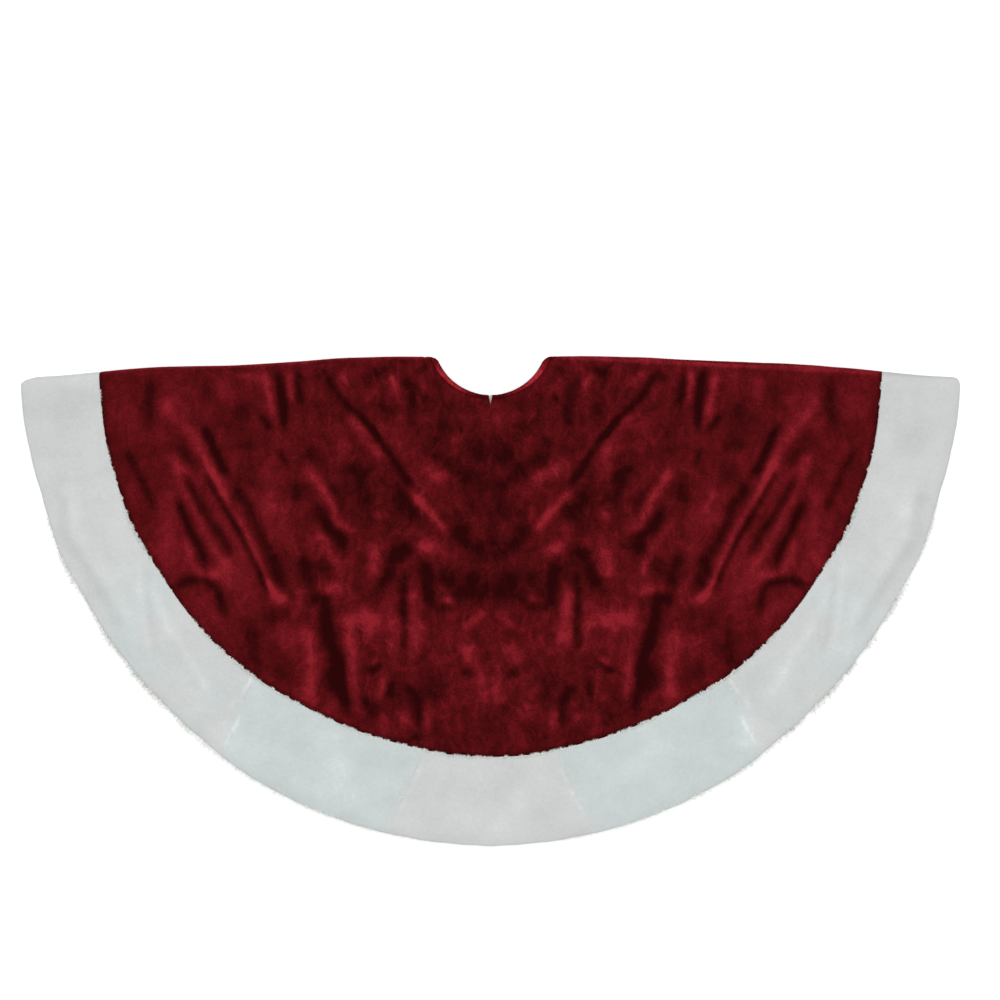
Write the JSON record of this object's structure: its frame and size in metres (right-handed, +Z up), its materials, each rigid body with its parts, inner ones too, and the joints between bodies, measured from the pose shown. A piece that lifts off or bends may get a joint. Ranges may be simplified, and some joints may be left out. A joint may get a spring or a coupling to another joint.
{
  "type": "christmas tree skirt",
  "caption": "Round plush tree skirt with a wide fur border and a slit, folded in half along the line opposite the slit; the front half unfolds.",
  "frame": {"origin": "point where the two straight edges of the folded skirt meet, in the middle of the trunk opening, on the floor", "axes": "+X to the right along the folded skirt's straight edges, +Y away from the hem, +Z up through the layers"},
  "size_m": [1.2199, 0.6355, 0.017],
  "materials": {
    "red_plush": "crushed velvet plush, soft nap",
    "white_fur": "short faux fur, matte",
    "red_binding": "turned plush edge",
    "white_lining": "plain woven lining",
    "white_facing": "woven tape",
    "loop_tape": "brushed loop tape",
    "hook_tape": "hook tape",
    "label_tape": "blank satin label"
  },
  "bodies": {
    "back_half": {"back_panel_left": "red_plush", "back_panel_right": "red_plush", "back_border_far_left": "white_fur", "back_border_left": "white_fur", "back_border_centre": "white_fur", "back_border_right": "white_fur", "back_border_far_right": "white_fur", "back_lining_left": "white_lining", "back_lining_right": "white_lining", "back_neck_binding": "red_binding", "back_slit_facing": "white_facing", "loop_pads": "loop_tape", "care_label": "label_tape", "fold_roll_panel": "red_plush", "fold_roll_border": "white_fur", "fold_roll_lining": "white_lining"},
    "front_half": {"front_panel_left": "red_plush", "front_panel_right": "red_plush", "front_border_far_left": "white_fur", "front_border_left": "white_fur", "front_border_centre": "white_fur", "front_border_right": "white_fur", "front_border_far_right": "white_fur", "front_lining_left": "white_lining", "front_lining_right": "white_lining", "front_neck_binding": "red_binding", "front_slit_facing": "white_facing", "hook_pads": "hook_tape"}
  },
  "joints": [
    {"name": "unfold", "type": "hinge", "parent": "back_half", "child": "front_half", "pos_m": [0.00043, -0.00849, 0.0085], "axis": [-0.9987, -0.0506, 0], "range_deg": [0, 180], "deforming": ["fold_roll_panel", "fold_roll_border", "fold_roll_lining"]}
  ]
}
